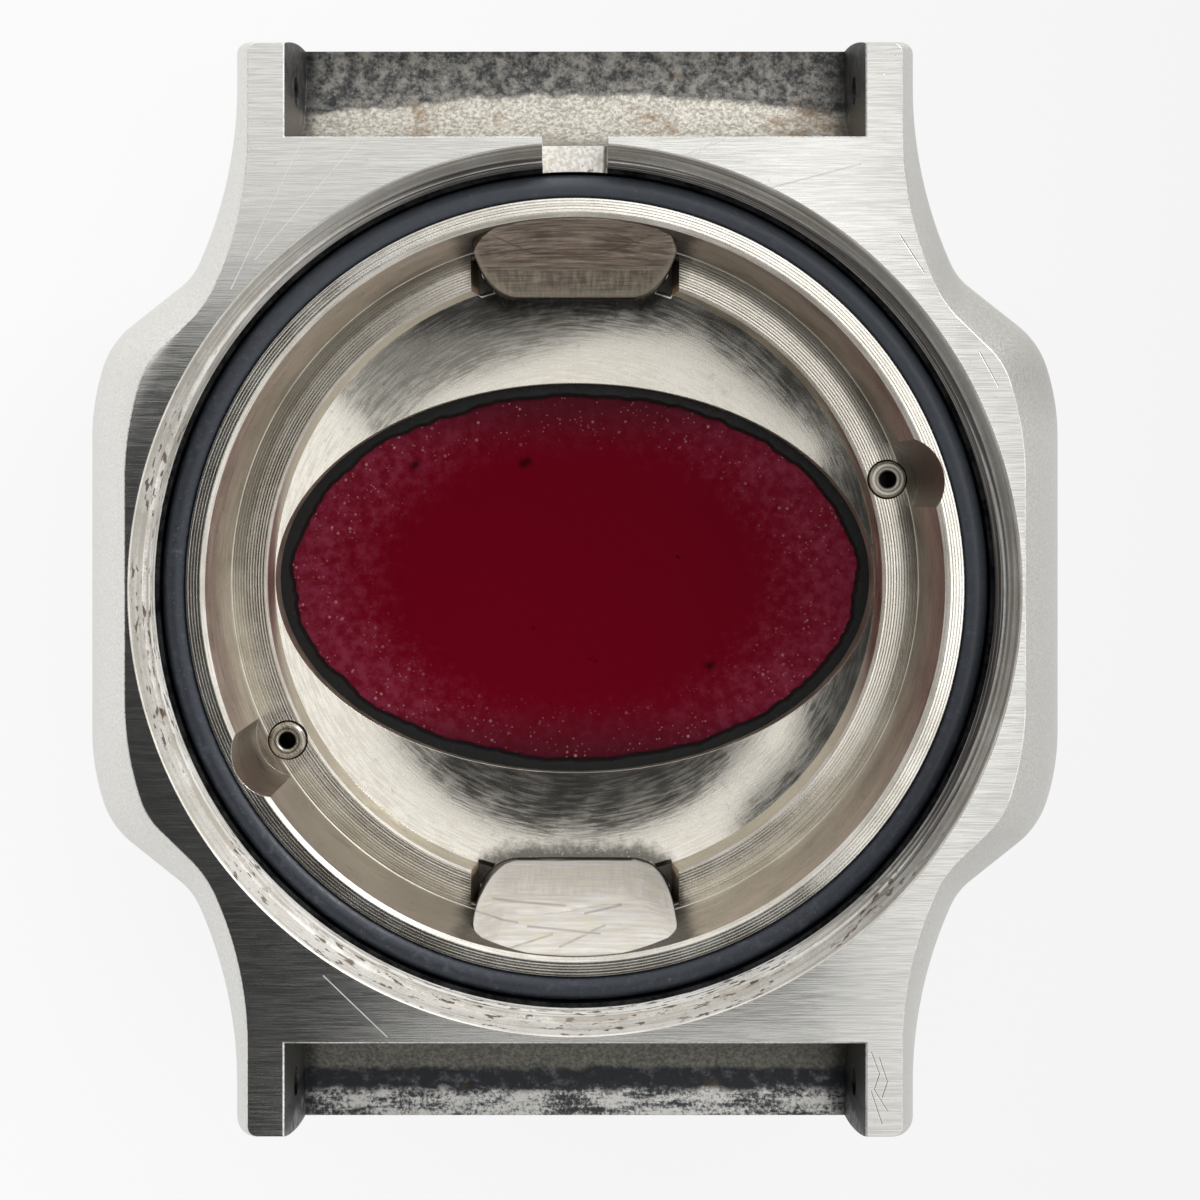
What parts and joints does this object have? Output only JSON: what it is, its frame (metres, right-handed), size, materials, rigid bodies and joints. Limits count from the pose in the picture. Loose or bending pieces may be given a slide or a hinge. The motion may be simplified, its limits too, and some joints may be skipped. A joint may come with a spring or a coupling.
{
  "type": "wristwatch case with oval window",
  "caption": "Open-backed steel wristwatch case with strap lugs, stepped round cavity, sealing ring, dark red oval window and magnet pushers at the top and bottom.",
  "frame": {"origin": "middle of the case on the plane of its flat front, on the axis of the round cavity", "axes": "+Z out of the open back, +Y towards 12 o'clock and the key notch, +X to the right as seen from the back"},
  "size_m": [0.0396, 0.0434, 0.0132],
  "materials": {
    "case_steel": "brushed back, satin flanks, turned bore",
    "ruby_glass": "polished dark red",
    "gasket_black": "dull",
    "ring_rubber": "satin",
    "bush_steel": "turned",
    "insert_steel": "filed by hand",
    "pusher_steel": "brushed",
    "magnet_grey": "plain",
    "spring_steel": "bright"
  },
  "bodies": {
    "case": {"case_body": "case_steel", "window": "ruby_glass", "window_gasket": "gasket_black", "back_sealing_ring": "ring_rubber", "right_screw_bush": "bush_steel", "left_screw_bush": "bush_steel", "upper_well_insert": "insert_steel", "lower_well_insert": "insert_steel", "upper_left_spring": "spring_steel", "upper_right_spring": "spring_steel", "lower_left_spring": "spring_steel", "lower_right_spring": "spring_steel", "upper_cross_pin": "spring_steel", "lower_cross_pin": "spring_steel"},
    "upper_button": {"upper_pusher": "pusher_steel", "upper_magnet": "magnet_grey"},
    "lower_button": {"lower_pusher": "pusher_steel", "lower_magnet": "magnet_grey"}
  },
  "joints": [
    {"name": "upper_press", "type": "slide", "parent": "case", "child": "upper_button", "axis": [0, 0, 1], "range_m": [0, 0.0006], "stiffness_N_per_m": 400, "springref_m": -0.0004, "deforming": ["upper_left_spring", "upper_right_spring"]},
    {"name": "lower_press", "type": "slide", "parent": "case", "child": "lower_button", "axis": [0, 0, 1], "range_m": [0, 0.0006], "stiffness_N_per_m": 400, "springref_m": -0.0004, "deforming": ["lower_left_spring", "lower_right_spring"]}
  ]
}
